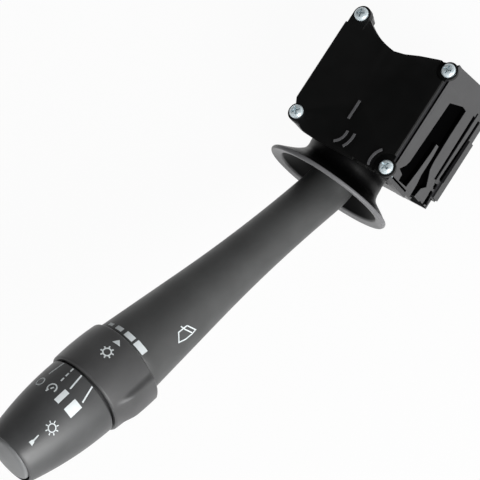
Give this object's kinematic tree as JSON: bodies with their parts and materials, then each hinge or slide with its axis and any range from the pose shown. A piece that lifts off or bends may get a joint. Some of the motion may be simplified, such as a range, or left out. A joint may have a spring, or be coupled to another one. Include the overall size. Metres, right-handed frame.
{
  "type": "combination stalk switch",
  "caption": "Steering column stalk switch: a box-shaped switch housing with a bell-shaped shroud, a cranked tapered lever, a turning ring, a turning end knob and a push button in the tip.",
  "frame": {"origin": "where the lever's up and down axis meets the rear seating face of the housing", "axes": "+X from the housing towards the stalk, +Y to the side with the rail groove, +Z out of the front cover"},
  "size_m": [0.2092, 0.0564, 0.1017],
  "materials": {
    "cover_plastic": "semi-gloss black",
    "case_plastic": "satin black",
    "rear_plastic": "satin black",
    "shroud_plastic": "gloss black",
    "lever_plastic": "fine-grained charcoal",
    "ring_plastic": "fine-grained charcoal",
    "knob_plastic": "fine-grained charcoal",
    "button_plastic": "satin grey",
    "zinc": "bright zinc",
    "spring_steel": "bright",
    "brass": "bright",
    "board": "green lacquer",
    "white_plastic": "natural",
    "wire": "black",
    "connector_plastic": "grey"
  },
  "bodies": {
    "housing": {"housing_case": "case_plastic", "rear_cover": "rear_plastic", "front_cover": "cover_plastic", "cover_screws": "zinc", "circuit_board": "board", "contact_tracks": "brass", "board_screws": "zinc", "connector_shroud": "connector_plastic", "terminal_pins": "brass", "detent_plate": "white_plastic"},
    "yoke": {"yoke": "white_plastic", "pivot_pin": "spring_steel", "detent_plunger": "spring_steel", "detent_spring": "spring_steel", "contact_carrier": "connector_plastic", "contact_blades": "brass", "pull_spring": "spring_steel"},
    "lever": {"lever_core": "white_plastic", "shroud_bell": "shroud_plastic", "lever_body": "lever_plastic", "wire_bundle": "wire", "knob_carrier": "connector_plastic", "ring_detent": "spring_steel", "knob_detent": "spring_steel", "knob_retainer": "spring_steel", "tip_board": "board", "button_switch": "case_plastic", "button_spring": "spring_steel"},
    "ring": {"delay_ring": "ring_plastic", "ring_contact": "brass"},
    "knob": {"end_knob": "knob_plastic", "knob_contact": "brass"},
    "button": {"end_button": "button_plastic"}
  },
  "joints": [
    {"name": "lever_up_down", "type": "hinge", "parent": "housing", "child": "yoke", "pos_m": [0, 0, 0.023], "axis": [0, 0, 1], "range_deg": [-8, 16]},
    {"name": "lever_pull", "type": "hinge", "parent": "yoke", "child": "lever", "pos_m": [0, 0, 0.023], "axis": [-0.0663, -0.9978, 0], "range_deg": [0, 7], "stiffness_Nm_per_rad": 1, "springref_deg": -17.19},
    {"name": "ring_turn", "type": "hinge", "parent": "lever", "child": "ring", "pos_m": [0.11611, -0.00771, 0.07036], "axis": [0.9043, -0.0601, 0.4226], "range_deg": [-24, 24]},
    {"name": "knob_turn", "type": "hinge", "parent": "lever", "child": "knob", "pos_m": [0.11611, -0.00771, 0.07036], "axis": [0.9043, -0.0601, 0.4226], "range_deg": [-20, 60]},
    {"name": "button_push", "type": "slide", "parent": "lever", "child": "button", "axis": [-0.9043, 0.0601, -0.4226], "range_m": [0, 0.002], "stiffness_N_per_m": 800, "springref_m": -0.002, "deforming": ["button_spring"]}
  ]
}
